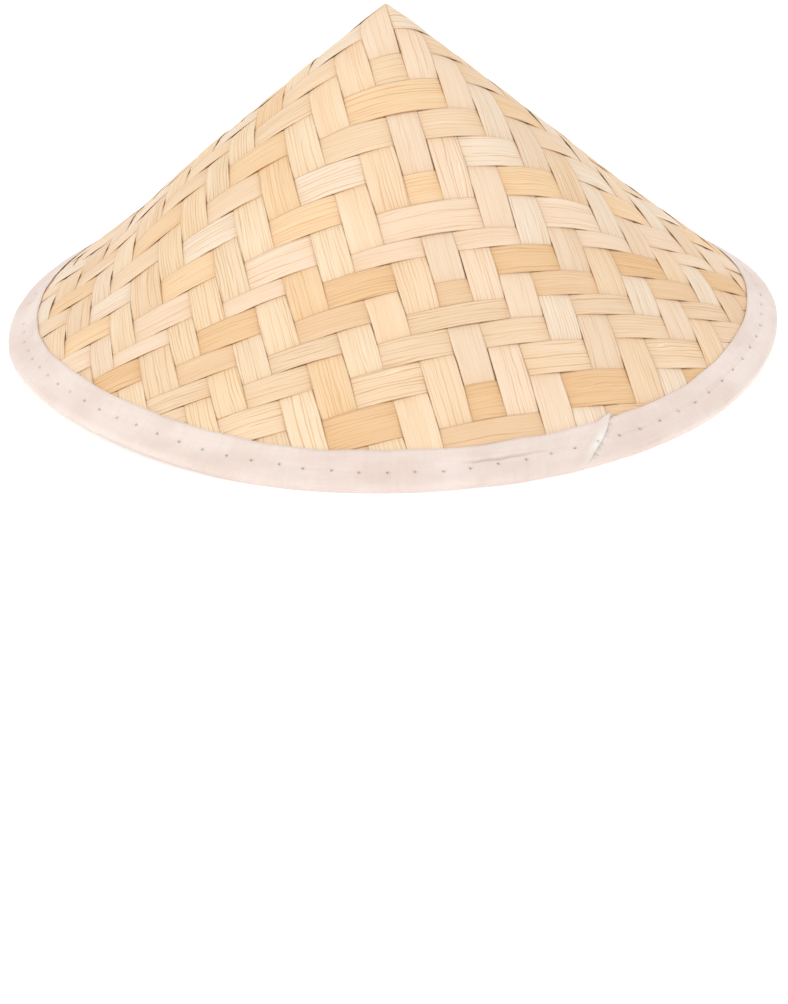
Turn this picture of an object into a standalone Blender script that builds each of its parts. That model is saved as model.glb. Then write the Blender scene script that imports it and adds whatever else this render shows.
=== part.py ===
"""A conical hat woven from flat bamboo strips, bound at the rim with folded cotton tape.

The shell is a flat twill mat with one quarter left out and the cut edges brought together, so three
families of strips cross three turn lines that run from the apex to the rim. A strip's place in the mat
is (along, across): across is its distance from the apex, and along is the distance from its turn line.
"""

import math

import bmesh
import bpy
import numpy as np
from mathutils import Vector

# Overall size, in metres. Azimuths are in degrees from the front (-Y) towards the right (+X).
HAT_RADIUS = 0.175
CONE_SINE = 0.75  # three quarters of a flat disc close into this cone
CONE_COSINE = math.sqrt(1 - CONE_SINE**2)
FIRST_TURN_LINE = 18.0

# The hand-made hat isn't quite true: its rim rises in two places and its flanks are a little hollow. Each entry
# is an azimuth, a share of the slope from the apex, the rise there, and how far it spreads in both.
SETTLING = (
    (308.0, 1.0, 0.0045, 40.0, 0.38),
    (85.0, 1.0, 0.0050, 42.0, 0.34),
    (270.0, 0.74, -0.0045, 50.0, 0.23),
    (88.0, 0.62, -0.0020, 45.0, 0.17),
)

# Weave. The families come in the order in which their turn lines follow each other. The hand-split strips
# differ in width: these are in millimetres, from the apex outwards.
FAMILIES = {
    "front_strip": (13, 12.5, 13.5, 15.5, 14.5, 15, 15, 15.5, 9, 13.5, 11.5, 10, 12, 15, 17, 14, 10),
    "right_strip": (14.5, 15, 15.5, 16, 16, 15, 15.5, 14.5, 14.5, 15, 14.5, 15, 15, 15, 15),
    "left_strip": (14.5, 15.5, 15, 15, 16, 15, 13.5, 14.5, 13, 16.5, 12.5, 11.5, 14.5, 14, 13, 12),
}
STRIP_THICKNESS = 0.00055
STRIP_GAP = 0.0012  # between neighbouring parallel strips
LAYER_OFFSET = 0.00046  # from the mat's middle surface to the middle of a strip
CURVED_STRIPS = 2  # the strips nearest the apex bend across their width too
STRIP_TIP_WIDTH = 0.001
STRAIGHT_RUN_SAG = 0.00024  # a run over two strips stays one flat piece while it sags less than this

# Rim: a hoop inside the fold of the tape, and the two rows of thread that hold it.
HOOP_RADIUS = 0.00225
CLEARANCE = 0.0003
TAPE_THICKNESS = 0.0005
TAPE_WIDTH = 0.0185
TAPE_LIFT = 0.0012  # the tape's inner faces, from the mat's middle surface
TAPE_LAP = 0.0005
TAPE_LAP_AZIMUTHS = (28.0, 36.0)
RIM_SEGMENTS = 48
STITCH_FROM_RIM = 0.0105
THREAD_RADIUS = 0.0003

# Head hoop, the cord ties that hang it inside the shell, and the loops for a chin cord.
HEAD_RADIUS = 0.083
HEAD_HOOP_THICKNESS = 0.0012
HEAD_HOOP_HEIGHT = 0.022
HEAD_HOOP_TOP = 0.0763
HEAD_HOOP_SEGMENTS = 48
HEAD_LAP_AZIMUTHS = (150.0, 168.0)
TIE_AZIMUTHS = (45.0, 135.0, 225.0, 315.0)
TIE_HOLE_DROP = 0.005
TIE_HOLE_RADIUS = 0.0012
TIE_CORD_RADIUS = 0.0006
CHIN_LOOP_AZIMUTHS = {"chin_loop_right": 90.0, "chin_loop_left": 270.0}
CHIN_LOOP_WIDTH = 0.010
CHIN_LOOP_THICKNESS = 0.0007
CHIN_LOOP_DROP = 0.013

# Worked out from the sizes above.
FOLD_RADIUS = HOOP_RADIUS + CLEARANCE + TAPE_THICKNESS
HOOP_SLANT = (HAT_RADIUS - FOLD_RADIUS) / CONE_SINE
APEX_HEIGHT = HOOP_SLANT * CONE_COSINE + FOLD_RADIUS
RIM_SLANT = HOOP_SLANT + FOLD_RADIUS
SHELL_SLANT = HOOP_SLANT - HOOP_RADIUS - 0.0004
STRIP_EDGES = [np.cumsum((0, *widths)) / 1000 for widths in FAMILIES.values()]


def clear_scene():
    for obj in list(bpy.data.objects):
        bpy.data.objects.remove(obj, do_unlink=True)


def material(name, colour, roughness):
    made = bpy.data.materials.new(name)
    made.use_nodes = True
    shader = made.node_tree.nodes["Principled BSDF"]
    shader.inputs["Base Color"].default_value = (*colour, 1)
    shader.inputs["Roughness"].default_value = roughness
    return made


def add_object(name, data, finish):
    obj = bpy.data.objects.new(name, data)
    bpy.context.scene.collection.objects.link(obj)
    data.materials.append(finish)
    return obj


def mesh_object(name, bm, finish, smooth_below=None):
    bmesh.ops.recalc_face_normals(bm, faces=bm.faces)
    mesh = bpy.data.meshes.new(name)
    bm.to_mesh(mesh)
    bm.free()
    if smooth_below:
        mesh.shade_smooth()
        mesh.set_sharp_from_angle(angle=math.radians(smooth_below))
    return add_object(name, mesh, finish)


def section_point(slant, lift):
    """Radius and height of a point that far down the slope and that far outside the middle surface."""
    radius = slant * CONE_SINE + lift * CONE_COSINE
    height = APEX_HEIGHT - slant * CONE_COSINE + lift * CONE_SINE
    return radius, height


def turned(azimuth, radius, height):
    angle = math.radians(azimuth)
    return Vector((radius * math.sin(angle), -radius * math.cos(angle), height))


def azimuth_of(point):
    return math.degrees(math.atan2(point.x, -point.y)) % 360


def settled_rise(point):
    """How far the shell and rim stand above the true cone at this place."""
    rise = 0
    for azimuth, share, amount, turn_spread, slope_spread in SETTLING:
        aside = abs((azimuth_of(point) - azimuth + 180) % 360 - 180) / turn_spread
        along = abs(point.xy.length / HAT_RADIUS - share) / slope_spread
        if aside < 1 and along < 1:
            rise += amount * (math.cos(aside * math.pi / 2) * math.cos(along * math.pi / 2)) ** 2
    return rise


def settle(mesh):
    for vert in mesh.vertices:
        vert.co.z += settled_rise(vert.co)


def slope_normal(azimuth):
    return turned(azimuth, CONE_COSINE, CONE_SINE)


def mat_azimuth(family, along, across):
    opened = math.degrees(math.atan2(along, across)) / CONE_SINE
    return FIRST_TURN_LINE + 120 * family + opened


def lies_over(own, other, other_family_follows):
    """Over two, under two, each strip one step on from its neighbour."""
    if other_family_follows:
        return (own - other) % 4 in (3, 0)
    return (other - own) % 4 in (1, 2)


def crossings(family, index):
    """The strips that this one crosses, in order along it: (start, end, lift, whether it bends there)."""
    cells = []
    for side in (-1, 1):
        edges = STRIP_EDGES[(family + side) % 3]
        for other, (near, far) in enumerate(zip(edges, edges[1:])):
            lift = LAYER_OFFSET if lies_over(index, other, side > 0) else -LAYER_OFFSET
            cells.append((*sorted((side * near, side * far)), lift, other < CURVED_STRIPS))
    return sorted(cells)


def surface_point(family, along, across):
    """The shell's middle surface at a place in the mat."""
    point = turned(mat_azimuth(family, along, across), *section_point(math.hypot(along, across), 0))
    return point + Vector((0, 0, settled_rise(point)))


def sags_little(family, start, end, across):
    """Whether a straight piece between these stations stays close to the shell's surface."""
    chord_middle = (surface_point(family, start, across) + surface_point(family, end, across)) / 2
    return (surface_point(family, (start + end) / 2, across) - chord_middle).length < STRAIGHT_RUN_SAG


def wave(family, index):
    """Stations along a strip and its lift at each: level over a crossing, and a ramp in the gap between."""
    cells = crossings(family, index)
    across = STRIP_EDGES[family][index:index + 2].mean()
    places = [(cells[0][0], cells[0][2])]
    for (start, end, lift, bends), following in zip(cells, cells[1:] + [None]):
        if bends:
            places.append(((start + end) / 2, lift))
        if following is None:
            places.append((end, lift))
        elif following[2] != lift:
            places.append((end - STRIP_GAP / 2, lift))
            places.append((end + STRIP_GAP / 2, following[2]))
        elif not sags_little(family, places[-1][0], following[1], across):
            places.append((end, lift))
    return np.array(places).T


def strip_stations(family, index, inner, outer):
    """The strip runs until the rim leaves only a narrow tip of it, and narrows from where the rim cuts it."""
    stations, lifts = wave(family, index)
    tip = math.sqrt(SHELL_SLANT**2 - (inner + STRIP_TIP_WIDTH) ** 2)
    cut = math.sqrt(max(SHELL_SLANT**2 - outer**2, 0))
    kept = [s for s in stations if abs(s) < tip - STRIP_TIP_WIDTH / 2]
    kept += [c for c in (-cut, cut) if min(abs(c - s) for s in [*kept, -tip, tip]) > STRIP_TIP_WIDTH / 2]
    kept = sorted([-tip, *kept, tip])
    return [(s, float(np.interp(s, stations, lifts))) for s in kept]


def bamboo_strip(name, family, index, finish):
    near, far = STRIP_EDGES[family][index:index + 2]
    inner = near + STRIP_GAP / 2
    outer = min(far - STRIP_GAP / 2, SHELL_SLANT)
    columns = 3 if index < CURVED_STRIPS else 2
    bm = bmesh.new()
    rows = []
    for along, lift in strip_stations(family, index, inner, outer):
        edge = min(outer, math.sqrt(SHELL_SLANT**2 - along**2))
        row = []
        for across in np.linspace(inner, edge, columns):
            azimuth = mat_azimuth(family, along, across)
            radius, height = section_point(math.hypot(along, across), lift - STRIP_THICKNESS / 2)
            row.append(bm.verts.new(turned(azimuth, radius, height)))
        rows.append((along, row))
    for (start, first), (end, second) in zip(rows, rows[1:]):
        for near, far in zip(range(columns), range(1, columns)):
            corners = [first[near], second[near], second[far], first[far]]
            if start + end < 0:  # the dividing edge always runs away from the apex
                corners = corners[1:] + corners[:1]
            bm.faces.new([corners[i] for i in (0, 1, 2)])
            bm.faces.new([corners[i] for i in (0, 2, 3)])
    raised = bmesh.ops.extrude_face_region(bm, geom=bm.faces[:])
    for vert in [g for g in raised["geom"] if isinstance(g, bmesh.types.BMVert)]:
        vert.co += slope_normal(azimuth_of(vert.co)) * STRIP_THICKNESS
    strip = mesh_object(name, bm, finish)
    settle(strip.data)
    return strip


def ring(name, section, segments, finish, smooth_below=40):
    """Turns a closed section, given as (radius, height) points, right round the hat's axis."""
    bm = bmesh.new()
    verts = [bm.verts.new(turned(0, *point)) for point in section]
    edges = [bm.edges.new((a, b)) for a, b in zip(verts, verts[1:] + verts[:1])]
    bmesh.ops.spin(bm, geom=verts + edges, cent=(0, 0, 0), axis=(0, 0, 1), angle=math.tau,
                   steps=segments, use_merge=True)
    bmesh.ops.remove_doubles(bm, verts=bm.verts, dist=1e-6)
    return mesh_object(name, bm, finish, smooth_below)


def fold_corners(inscribed, first, last):
    """Corners of the eight-sided fold around the hoop, one flat of which lies level on the ground."""
    down = math.degrees(math.atan2(-CONE_SINE, CONE_COSINE))
    reach = inscribed / math.cos(math.radians(22.5))
    corners = []
    for step in range(first, last - 1, -1):
        angle = math.radians(down + 22.5 + 45 * step)
        corners.append((HOOP_SLANT + reach * math.cos(angle), reach * math.sin(angle)))
    return corners


def tape_side(lift, inscribed):
    """One face of the folded tape, from the edge of the outer leaf round to that of the inner leaf."""
    start, pinch = RIM_SLANT - TAPE_WIDTH, RIM_SLANT - STITCH_FROM_RIM
    around = fold_corners(inscribed, 3, -2)
    return [(start, lift), (pinch, lift), *around, (pinch, -lift), (start, -lift)]


def binding_tape(finish):
    outside = tape_side(TAPE_LIFT + TAPE_THICKNESS, FOLD_RADIUS)
    inside = tape_side(TAPE_LIFT, FOLD_RADIUS - TAPE_THICKNESS)
    section = [section_point(*point) for point in outside + inside[::-1]]
    tape = ring("binding_tape", section, RIM_SEGMENTS, finish)
    for vert in tape.data.vertices:  # the tape's end lies over its start on the outer leaf
        azimuth = azimuth_of(vert.co)
        normal = slope_normal(azimuth)
        lift = (vert.co - Vector((0, 0, APEX_HEIGHT))).dot(normal)
        if TAPE_LAP_AZIMUTHS[0] < azimuth < TAPE_LAP_AZIMUTHS[1] and lift > TAPE_LIFT + CLEARANCE:
            vert.co += normal * TAPE_LAP
    settle(tape.data)
    return tape


def rim_hoop(finish):
    sides = 6
    angles = [math.tau * i / sides for i in range(sides)]
    section = [
        section_point(HOOP_SLANT + HOOP_RADIUS * math.cos(a), HOOP_RADIUS * math.sin(a)) for a in angles
    ]
    hoop = ring("rim_hoop", section, RIM_SEGMENTS, finish)
    settle(hoop.data)
    return hoop


def cord(name, points, radius, finish, resolution=0):
    """A closed cord through these points."""
    curve = bpy.data.curves.new(name, "CURVE")
    curve.dimensions = "3D"
    curve.bevel_depth = radius
    curve.bevel_resolution = resolution
    spline = curve.splines.new("POLY")
    spline.points.add(len(points) - 1)
    for place, point in zip(spline.points, points):
        place.co = (*point, 1)
    spline.use_cyclic_u = True
    return add_object(name, curve, finish)


def stitch_row(name, side, finish):
    """One thread laid along the tape's middle, outside or inside the hat."""
    slant = RIM_SLANT - STITCH_FROM_RIM - THREAD_RADIUS
    points = []
    for step in range(RIM_SEGMENTS):
        azimuth = 360 * step / RIM_SEGMENTS
        lift = TAPE_LIFT + TAPE_THICKNESS + 2 * CLEARANCE + THREAD_RADIUS
        if side > 0 and TAPE_LAP_AZIMUTHS[0] - 8 < azimuth < TAPE_LAP_AZIMUTHS[1] + 8:
            lift += TAPE_LAP
        point = turned(azimuth, *section_point(slant, side * lift))
        points.append(point + Vector((0, 0, settled_rise(point))))
    return cord(name, points, THREAD_RADIUS, finish)


def head_hoop(finish):
    top, bottom = HEAD_HOOP_TOP, HEAD_HOOP_TOP - HEAD_HOOP_HEIGHT
    outer = HEAD_RADIUS + HEAD_HOOP_THICKNESS
    section = [(HEAD_RADIUS, bottom), (outer, bottom), (outer, top), (HEAD_RADIUS, top)]
    hoop = ring("head_hoop", section, HEAD_HOOP_SEGMENTS, finish)
    for vert in hoop.data.vertices:  # the splint's end lies over its start, on the outside
        azimuth = azimuth_of(vert.co)
        if HEAD_LAP_AZIMUTHS[0] < azimuth < HEAD_LAP_AZIMUTHS[1] and vert.co.xy.length > outer - 1e-4:
            vert.co += turned(azimuth, HEAD_HOOP_THICKNESS, 0)
    for number, azimuth in enumerate(TIE_AZIMUTHS, 1):
        bm = bmesh.new()
        bmesh.ops.create_cone(bm, cap_ends=True, segments=8, radius1=TIE_HOLE_RADIUS,
                              radius2=TIE_HOLE_RADIUS, depth=10 * HEAD_HOOP_THICKNESS)
        cutter = mesh_object(f"tie_hole_cutter_{number}", bm, finish)
        cutter.location = turned(azimuth, HEAD_RADIUS, HEAD_HOOP_TOP - TIE_HOLE_DROP)
        cutter.rotation_euler = (math.radians(90), 0, math.radians(azimuth))
        cutter.hide_render = True
        cutter.display_type = "WIRE"
        cut = hoop.modifiers.new(f"tie_hole_{number}", "BOOLEAN")
        cut.operation = "DIFFERENCE"
        cut.object = cutter
    return hoop


def head_ties(finish):
    """Each tie goes through a hole near the top of the head hoop and round the hoop's top edge."""
    away = TIE_CORD_RADIUS + CLEARANCE
    inside, outside = HEAD_RADIUS - away, HEAD_RADIUS + HEAD_HOOP_THICKNESS + away
    low, high = HEAD_HOOP_TOP - TIE_HOLE_DROP, HEAD_HOOP_TOP + away
    corner = away / 2
    path = [(inside, low + corner), (inside, high - corner), (inside + corner, high),
            (outside - corner, high), (outside, high - corner), (outside, low + corner),
            (outside - corner, low), (inside + corner, low)]
    for number, azimuth in enumerate(TIE_AZIMUTHS, 1):
        points = [turned(azimuth, radius, height) for radius, height in path]
        cord(f"head_tie_{number}", points, TIE_CORD_RADIUS, finish, resolution=1)


def chin_loop(name, azimuth, finish):
    """A tape loop that hangs on the head hoop and leaves an eye below it for a chin cord."""
    away = HEAD_HOOP_THICKNESS / 2 + 2 * CLEARANCE + CHIN_LOOP_THICKNESS / 2
    top = HEAD_HOOP_TOP + CLEARANCE + CHIN_LOOP_THICKNESS / 2
    bottom = HEAD_HOOP_TOP - HEAD_HOOP_HEIGHT
    outer_side = [
        (away, top),
        (away, bottom),
        (2 * away, bottom - 0.35 * CHIN_LOOP_DROP),
        (2 * away, bottom - 0.75 * CHIN_LOOP_DROP),
        (away, bottom - CHIN_LOOP_DROP),
    ]
    outline = outer_side + [(-x, z) for x, z in outer_side[::-1]]
    middle = HEAD_RADIUS + HEAD_HOOP_THICKNESS / 2
    bm = bmesh.new()
    verts = [bm.verts.new((-CHIN_LOOP_WIDTH / 2, -middle - x, z)) for x, z in outline]
    edges = [bm.edges.new((a, b)) for a, b in zip(verts, verts[1:] + verts[:1])]
    other_edge = bmesh.ops.extrude_edge_only(bm, edges=edges)
    moved = [g for g in other_edge["geom"] if isinstance(g, bmesh.types.BMVert)]
    bmesh.ops.translate(bm, verts=moved, vec=(CHIN_LOOP_WIDTH, 0, 0))
    loop = mesh_object(name, bm, finish)
    loop.rotation_euler.z = math.radians(azimuth)
    solidify = loop.modifiers.new("tape_thickness", "SOLIDIFY")
    solidify.thickness = CHIN_LOOP_THICKNESS
    solidify.offset = 0
    solidify.use_even_offset = True
    return loop


def build():
    clear_scene()
    bamboo = material("bamboo", (0.83, 0.63, 0.38), 0.55)
    cotton = material("cotton", (0.84, 0.76, 0.70), 0.9)
    thread = material("thread", (0.86, 0.82, 0.78), 0.8)
    splint = material("splint", (0.74, 0.54, 0.30), 0.6)
    for family, (name, widths) in enumerate(FAMILIES.items()):
        for index in range(len(widths)):
            bamboo_strip(f"{name}_{index + 1:02d}", family, index, bamboo)
    binding_tape(cotton)
    rim_hoop(splint)
    stitch_row("needle_thread", 1, thread)
    stitch_row("bobbin_thread", -1, thread)
    head_hoop(splint)
    head_ties(thread)
    for name, azimuth in CHIN_LOOP_AZIMUTHS.items():
        chin_loop(name, azimuth, cotton)


build()
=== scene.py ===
import math
import random

import bmesh
import bpy
import numpy as np
from mathutils import Matrix, Vector


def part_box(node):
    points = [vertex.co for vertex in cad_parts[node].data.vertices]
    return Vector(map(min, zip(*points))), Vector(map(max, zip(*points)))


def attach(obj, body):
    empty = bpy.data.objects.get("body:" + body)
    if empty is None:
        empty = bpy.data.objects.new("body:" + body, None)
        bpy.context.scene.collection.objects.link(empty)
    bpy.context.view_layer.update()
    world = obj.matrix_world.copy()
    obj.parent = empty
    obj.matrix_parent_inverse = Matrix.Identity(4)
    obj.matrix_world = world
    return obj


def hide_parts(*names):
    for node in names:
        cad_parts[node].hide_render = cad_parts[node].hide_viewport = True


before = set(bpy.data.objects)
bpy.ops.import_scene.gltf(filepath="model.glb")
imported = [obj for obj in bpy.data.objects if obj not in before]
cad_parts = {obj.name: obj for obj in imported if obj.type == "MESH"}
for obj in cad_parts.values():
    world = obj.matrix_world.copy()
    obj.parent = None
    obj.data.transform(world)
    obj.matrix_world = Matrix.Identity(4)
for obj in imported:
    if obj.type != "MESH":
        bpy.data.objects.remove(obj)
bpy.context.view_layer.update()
scene = bpy.context.scene
print("loaded the frame:", len(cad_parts), "nodes")

mm = 0.001

# The cone is a flat mat with one quarter left out, so its slope follows from its height and its rim.
hat = {
    "radius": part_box("binding_tape")[1].x,
    "coneSine": 0.75,
    "turnLine": 18.0,   # azimuth of the first turn line, in degrees from the front towards the right
    "foldRadius": 3.05 * mm,  # the folded tape around the rim hoop, outside
    "hoopRadius": 2.25 * mm,
    # The hat isn't quite true. Each entry: azimuth, share of the slope, rise, and how far it spreads in both.
    "settling": (
        (308.0, 1.0, 4.5 * mm, 40.0, 0.38),
        (85.0, 1.0, 5.0 * mm, 42.0, 0.34),
        (270.0, 0.74, -4.5 * mm, 50.0, 0.23),
        (88.0, 0.62, -2.0 * mm, 45.0, 0.17),
    ),
}
coneSine = hat["coneSine"]
coneCosine = math.sqrt(1 - coneSine**2)
hoopSlant = (hat["radius"] - hat["foldRadius"]) / coneSine
apexHeight = hoopSlant * coneCosine + hat["foldRadius"]
rimSlant = hoopSlant + hat["foldRadius"]
shellSlant = hoopSlant - hat["hoopRadius"] - 0.4 * mm


def turned(azimuth, radius, height):
    angle = np.radians(azimuth)
    return np.stack([radius * np.sin(angle), -radius * np.cos(angle), height + 0 * angle], axis=-1)


def turnBetween(azimuth, other):  # the smaller angle between two azimuths, in degrees
    return np.abs((azimuth - other + 180) % 360 - 180)


def hump(x):  # 1 at 0, falling smoothly to 0 at 1 and beyond
    return np.cos(np.minimum(x, 1) * math.pi / 2) ** 2


def settled(azimuth, slant):  # how far a place on the shell stands above the true cone
    rise = 0.0
    for middle, share, amount, turnSpread, slopeSpread in hat["settling"]:
        aside = turnBetween(azimuth, middle) / turnSpread
        along = np.abs(slant / rimSlant - share) / slopeSpread
        rise = rise + amount * hump(aside) * hump(along)
    return rise


def onSlope(azimuth, slant, lift):  # lift is outwards from the middle surface of the shell
    height = apexHeight - slant * coneCosine + lift * coneSine + settled(azimuth, slant)
    return turned(azimuth, slant * coneSine + lift * coneCosine, height)


def smooth(low, high, x):
    t = np.clip((x - low) / (high - low), 0, 1)
    return t * t * (3 - 2 * t)


class Ripple:  # a smooth random line, the sum of a few waves
    def __init__(self, rng, shortest, longest, waves=7):
        self.parts = [(math.tau / rng.uniform(shortest, longest), rng.uniform(0, math.tau))
                      for _ in range(waves)]

    def __call__(self, x):
        total = sum(np.sin(rate * x + phase) for rate, phase in self.parts)
        return total / len(self.parts) ** 0.5 / 1.4  # mostly between -1 and 1


# Meshes

def newObject(name, bm, material):
    mesh = bpy.data.meshes.new(name)
    bm.to_mesh(mesh)
    bm.free()
    mesh.shade_smooth()
    obj = bpy.data.objects.new(name, mesh)
    scene.collection.objects.link(obj)
    mesh.materials.append(material)
    return obj


def bentSheet(name, alongs, acrosses, bend, material):
    # a flat grid whose points are then bent into place; its UV map keeps the flat sizes, in metres
    bm = bmesh.new()
    bmesh.ops.create_grid(bm, x_segments=len(alongs) - 1, y_segments=len(acrosses) - 1, size=0.5)
    obj = newObject(name, bm, material)
    mesh = obj.data
    flat = np.empty(len(mesh.vertices) * 3, dtype=np.float32)
    mesh.vertices.foreach_get("co", flat)
    flat = flat.reshape(-1, 3) + 0.5
    along = alongs[np.rint(flat[:, 0] * (len(alongs) - 1)).astype(int)]
    across = acrosses[np.rint(flat[:, 1] * (len(acrosses) - 1)).astype(int)]
    points, uvs = bend(along, across)
    mesh.vertices.foreach_set("co", points.astype(np.float32).ravel())
    corners = np.empty(len(mesh.loops), dtype=np.int32)
    mesh.loops.foreach_get("vertex_index", corners)
    uvMap = mesh.uv_layers.new(name="flat")
    uvMap.data.foreach_set("uv", uvs[corners].astype(np.float32).ravel())
    mesh.update()
    return obj


def thicken(obj, thickness, offset=0.0):
    wall = obj.modifiers.new("thickness", "SOLIDIFY")
    wall.thickness = thickness
    wall.offset = offset
    wall.use_even_offset = True
    return wall


def pointsOutwards(obj, centre):  # turns the faces of an open sheet to face away from a point
    mesh = obj.data
    total = sum((Vector(f.center) - Vector(centre)).dot(f.normal) * f.area for f in mesh.polygons)
    if total < 0:
        mesh.flip_normals()


def addAttribute(obj, name, kind, values):
    attribute = obj.data.attributes.new(name, kind, "POINT")
    field = "color" if kind == "FLOAT_COLOR" else "value"
    attribute.data.foreach_set(field, np.asarray(values, np.float32).ravel())


def cordPiece(name, paths, radius, material, closed=False, resolution=2):
    curve = bpy.data.curves.new(name, "CURVE")
    curve.dimensions = "3D"
    curve.bevel_depth = radius
    curve.bevel_resolution = resolution
    curve.use_fill_caps = not closed
    for points in paths:
        spline = curve.splines.new("POLY")
        spline.points.add(len(points) - 1)
        spline.points.foreach_set("co", np.c_[points, np.ones(len(points))].astype(np.float32).ravel())
        spline.use_cyclic_u = closed
    rough = bpy.data.objects.new(name, curve)
    mesh = bpy.data.meshes.new_from_object(rough)
    bpy.data.objects.remove(rough)
    bpy.data.curves.remove(curve)
    mesh.name = name
    mesh.shade_smooth()
    obj = bpy.data.objects.new(name, mesh)
    scene.collection.objects.link(obj)
    mesh.materials.clear()
    mesh.materials.append(material)
    return obj


def fit(obj, slot, *nodes):
    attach(obj, "root")
    if nodes:
        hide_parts(*nodes)
    return obj


# Shaders

class Value:  # a number on the surface, with Python's own operators
    def __init__(self, shader, socket):
        self.shader = shader
        self.socket = socket

    def math(self, operation, *others):
        return self.shader.add("ShaderNodeMath", {"operation": operation}, [self, *others])

    def __add__(self, other):
        return self.math("ADD", other)

    def __mul__(self, other):
        return self.math("MULTIPLY", other)

    def __sub__(self, other):
        return self.math("SUBTRACT", other)

    def __rsub__(self, other):
        return self.shader.add("ShaderNodeMath", {"operation": "SUBTRACT"}, [other, self])

    def __truediv__(self, other):
        return self.math("DIVIDE", other)

    __radd__ = __add__
    __rmul__ = __mul__


class Shader:
    def __init__(self, name, roughness):
        self.material = bpy.data.materials.new(name)
        self.material.use_nodes = True
        self.nodes = self.material.node_tree.nodes
        self.links = self.material.node_tree.links
        self.surface = self.nodes["Principled BSDF"]
        self.surface.inputs["Roughness"].default_value = roughness

    def put(self, socket, value):
        if isinstance(value, Value):
            self.links.new(value.socket, socket)
        else:
            socket.default_value = value

    def add(self, kind, settings, inputs, output=0):
        node = self.nodes.new(kind)
        for key, value in settings.items():
            setattr(node, key, value)
        pairs = inputs.items() if isinstance(inputs, dict) else enumerate(inputs)
        for key, value in pairs:
            self.put(node.inputs[key], value)
        return Value(self, node.outputs[output])

    def axes(self, place, names="XYZ"):
        return [self.add("ShaderNodeSeparateXYZ", {}, [place], name) for name in names]

    def flat(self):  # the piece's own flat coordinates: along and across, in metres
        return self.axes(self.add("ShaderNodeUVMap", {"uv_map": "flat"}, {}), "XY")

    def solid(self):  # object coordinates, for the pieces that aren't bent from a sheet
        return self.axes(self.add("ShaderNodeTexCoord", {}, {}, "Object"))

    def attribute(self, name, output="Fac"):
        return self.add("ShaderNodeAttribute", {"attribute_name": name}, {}, output)

    def noise(self, x, y, z, detail=2.0, roughness=0.5):
        place = self.add("ShaderNodeCombineXYZ", {}, [x, y, z])
        return self.add("ShaderNodeTexNoise", {}, {"Vector": place, "Scale": 1.0, "Detail": detail,
                                                   "Roughness": roughness})

    def step(self, value, low, high, low2=0.0, high2=1.0):
        return self.add("ShaderNodeMapRange", {"interpolation_type": "SMOOTHSTEP"},
                        {"Value": value, "From Min": low, "From Max": high, "To Min": low2, "To Max": high2})

    def mix(self, factor, first, second, blend="MIX"):
        return self.add("ShaderNodeMix", {"data_type": "RGBA", "blend_type": blend},
                        {0: factor, 6: first, 7: second}, 2)

    def finish(self, colour=None, roughness=None, height=None, depth=None):
        if colour is not None:
            self.put(self.surface.inputs["Base Color"], colour)
        if roughness is not None:
            self.put(self.surface.inputs["Roughness"], roughness)
        if height is not None:
            bump = self.add("ShaderNodeBump", {}, {"Height": height, "Distance": depth, "Strength": 1.0})
            self.put(self.surface.inputs["Normal"], bump)
        return self.material


bamboo = {
    "lineSpacing": 1.55 * mm,    # soft brown lines that run along a strip
    "fineSpacing": 0.62 * mm,
    "lineWander": 2.6,
    "lineColour": (0.83, 0.66, 0.48, 1),
    "fineColour": (0.87, 0.775, 0.66, 1),
    "streakColour": (1.09, 1.16, 1.25, 1),    # lighter: every colour here multiplies the strip's own
    "patchColour": (0.93, 0.83, 0.70, 1),
    "fibreColour": (0.88, 0.75, 0.58, 1),
    "fibreDepth": 0.05 * mm,
    "roughness": (0.42, 0.62),
    "specular": 0.35,
    "edgeColour": (0.54, 0.29, 0.11, 1),      # this one is mixed in, along the split edges
    "edgeStrength": 0.36,
    "diveShadeColour": (0.80, 0.64, 0.45, 1),      # painted shade, deeper where a strip dives under the next one
    "diveShadeStrength": 0.3,
    "diveShadeReach": 2.4 * mm,
}


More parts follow.
